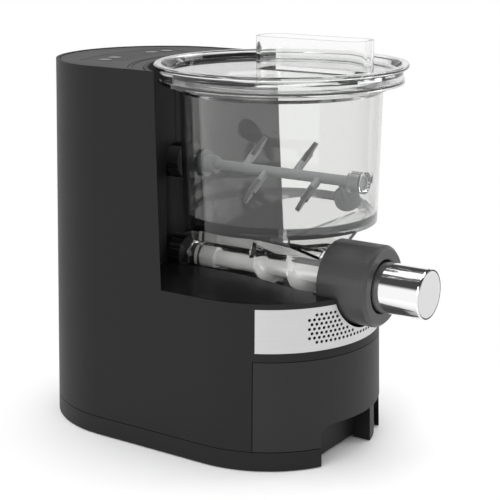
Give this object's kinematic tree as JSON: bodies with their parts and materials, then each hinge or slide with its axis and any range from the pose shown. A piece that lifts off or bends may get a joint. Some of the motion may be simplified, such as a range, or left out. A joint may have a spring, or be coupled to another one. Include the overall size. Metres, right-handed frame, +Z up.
{
  "type": "electric pasta maker",
  "caption": "Electric pasta maker: a clear lidded mixing bowl with a paddle over an auger barrel and closed outlet tube, in front of a tall matte drive housing.",
  "frame": {"origin": "centre of the overall box, on the table under the feet", "axes": "+X to the right seen from the front, -Y towards the outlet tube at the front, +Z up"},
  "size_m": [0.188, 0.3278, 0.309],
  "materials": {
    "housing_shell": "fine matte",
    "top_cover": "satin",
    "control_panel": "high gloss",
    "display_lens": "smoked gloss",
    "power_button": "gloss",
    "program_button": "gloss",
    "flour_button": "gloss",
    "start_button": "gloss",
    "control_board": "board laminate",
    "front_plate": "brushed",
    "rear_vent": "matte",
    "base_pan": "matte",
    "rubber_feet": "matte",
    "base_screws": "zinc plated",
    "cord_gland": "matte",
    "power_board": "board laminate",
    "drawer_bay": "matte",
    "drawer_runners": "natural",
    "drawer_front": "fine matte",
    "drawer_tray": "satin",
    "drying_fan_frames": "matte",
    "drying_fan_left": "matte",
    "drying_fan_right": "matte",
    "lid_switch": "matte",
    "lid_switch_plunger": "natural",
    "gearbox_housing": "as cast",
    "gearbox_cover": "as cast",
    "gearbox_screws": "zinc plated",
    "auger_gear": "natural nylon",
    "auger_drive_shaft": "ground",
    "paddle_gear": "natural nylon",
    "paddle_drive_shaft": "ground",
    "idler_gear": "natural nylon",
    "idler_axle": "ground",
    "front_bushes": "sintered bronze",
    "rear_bushes": "sintered bronze",
    "shaft_seals": "matte",
    "motor_can": "zinc plated",
    "motor_rotor": "laminated steel and copper",
    "motor_pinion": "machined",
    "cooling_fan": "matte",
    "motor_cradle": "matte",
    "bowl": "clear plastic",
    "barrel": "clear plastic",
    "mixing_paddle": "satin",
    "auger_shaft": "satin",
    "auger_flight": "satin",
    "paddle_bushes": "natural",
    "retaining_nut": "satin",
    "outlet_tube": "polished",
    "outlet_seal": "silicone",
    "lid": "clear plastic",
    "lid_seal": "silicone"
  },
  "bodies": {
    "housing": {"housing_shell": "housing_shell", "top_cover": "top_cover", "control_panel": "control_panel", "display_lens": "display_lens", "control_board": "control_board", "front_plate": "front_plate", "rear_vent": "rear_vent", "base_pan": "base_pan", "rubber_feet": "rubber_feet", "base_screws": "base_screws", "cord_gland": "cord_gland", "power_board": "power_board", "drawer_bay": "drawer_bay", "drawer_runners": "drawer_runners", "drying_fan_frames": "drying_fan_frames", "lid_switch": "lid_switch", "gearbox_housing": "gearbox_housing", "gearbox_cover": "gearbox_cover", "gearbox_screws": "gearbox_screws", "idler_axle": "idler_axle", "front_bushes": "front_bushes", "rear_bushes": "rear_bushes", "shaft_seals": "shaft_seals", "motor_can": "motor_can", "motor_cradle": "motor_cradle"},
    "power_key": {"power_button": "power_button"},
    "program_key": {"program_button": "program_button"},
    "flour_key": {"flour_button": "flour_button"},
    "start_key": {"start_button": "start_button"},
    "lid_pin": {"lid_switch_plunger": "lid_switch_plunger"},
    "drawer": {"drawer_front": "drawer_front", "drawer_tray": "drawer_tray"},
    "fan_left": {"drying_fan_left": "drying_fan_left"},
    "fan_right": {"drying_fan_right": "drying_fan_right"},
    "rotor": {"motor_rotor": "motor_rotor", "motor_pinion": "motor_pinion", "cooling_fan": "cooling_fan"},
    "idler": {"idler_gear": "idler_gear"},
    "auger_drive": {"auger_gear": "auger_gear", "auger_drive_shaft": "auger_drive_shaft"},
    "paddle_drive": {"paddle_gear": "paddle_gear", "paddle_drive_shaft": "paddle_drive_shaft"},
    "bowl_unit": {"bowl": "bowl", "barrel": "barrel", "paddle_bushes": "paddle_bushes", "outlet_tube": "outlet_tube", "outlet_seal": "outlet_seal"},
    "lid": {"lid": "lid", "lid_seal": "lid_seal"},
    "nut": {"retaining_nut": "retaining_nut"},
    "auger": {"auger_shaft": "auger_shaft", "auger_flight": "auger_flight"},
    "paddle": {"mixing_paddle": "mixing_paddle"}
  },
  "joints": [
    {"name": "power_press", "type": "slide", "parent": "housing", "child": "power_key", "axis": [0, 0, -1], "range_m": [0, 0.001], "stiffness_N_per_m": 300, "springref_m": -0.0005},
    {"name": "program_press", "type": "slide", "parent": "housing", "child": "program_key", "axis": [0, 0, -1], "range_m": [0, 0.001], "stiffness_N_per_m": 300, "springref_m": -0.0005},
    {"name": "flour_press", "type": "slide", "parent": "housing", "child": "flour_key", "axis": [0, 0, -1], "range_m": [0, 0.001], "stiffness_N_per_m": 300, "springref_m": -0.0005},
    {"name": "start_press", "type": "slide", "parent": "housing", "child": "start_key", "axis": [0, 0, -1], "range_m": [0, 0.001], "stiffness_N_per_m": 300, "springref_m": -0.0005},
    {"name": "lid_pin_slide", "type": "slide", "parent": "housing", "child": "lid_pin", "axis": [0, 1, 0], "range_m": [0, 0.002], "stiffness_N_per_m": 150, "springref_m": -0.0005},
    {"name": "drawer_slide", "type": "slide", "parent": "housing", "child": "drawer", "axis": [0, -1, 0], "range_m": [0, 0.1]},
    {"name": "fan_left_spin", "type": "hinge", "parent": "housing", "child": "fan_left", "pos_m": [-0.055, -0.06225, 0.104], "axis": [0, 1, 0], "continuous": true},
    {"name": "fan_right_spin", "type": "hinge", "parent": "housing", "child": "fan_right", "pos_m": [0.055, -0.06225, 0.104], "axis": [0, 1, 0], "continuous": true},
    {"name": "rotor_spin", "type": "hinge", "parent": "housing", "child": "rotor", "pos_m": [0, 0.11885, 0.05717], "axis": [0, 1, 0], "continuous": true},
    {"name": "idler_spin", "type": "hinge", "parent": "housing", "child": "idler", "pos_m": [0.02758, 0.07985, 0.08031], "axis": [0, 1, 0], "continuous": true},
    {"name": "auger_drive_spin", "type": "hinge", "parent": "housing", "child": "auger_drive", "pos_m": [0, 0.07485, 0.1319], "axis": [0, 1, 0], "continuous": true},
    {"name": "paddle_drive_spin", "type": "hinge", "parent": "housing", "child": "paddle_drive", "pos_m": [0, 0.07485, 0.2069], "axis": [0, 1, 0], "continuous": true},
    {"name": "bowl_slide", "type": "slide", "parent": "housing", "child": "bowl_unit", "axis": [0, -1, 0], "range_m": [0, 0.06]},
    {"name": "lid_lift", "type": "slide", "parent": "bowl_unit", "child": "lid", "axis": [0, 0, 1], "range_m": [0, 0.05]},
    {"name": "nut_turn", "type": "hinge", "parent": "bowl_unit", "child": "nut", "pos_m": [0, -0.10635, 0.1319], "axis": [0, 1, 0], "range_deg": [0, 60]},
    {"name": "auger_spin", "type": "hinge", "parent": "bowl_unit", "child": "auger", "pos_m": [0, -0.03665, 0.1319], "axis": [0, 1, 0], "continuous": true},
    {"name": "paddle_spin", "type": "hinge", "parent": "bowl_unit", "child": "paddle", "pos_m": [0, -0.03665, 0.2069], "axis": [0, 1, 0], "continuous": true}
  ],
  "couplings": [
    {"joint": "idler_spin", "follows": "rotor_spin", "ratio": -0.2},
    {"joint": "auger_drive_spin", "follows": "rotor_spin", "ratio": 0.04375},
    {"joint": "paddle_drive_spin", "follows": "rotor_spin", "ratio": -0.077778},
    {"joint": "auger_spin", "follows": "rotor_spin", "ratio": 0.04375},
    {"joint": "paddle_spin", "follows": "rotor_spin", "ratio": -0.077778}
  ]
}
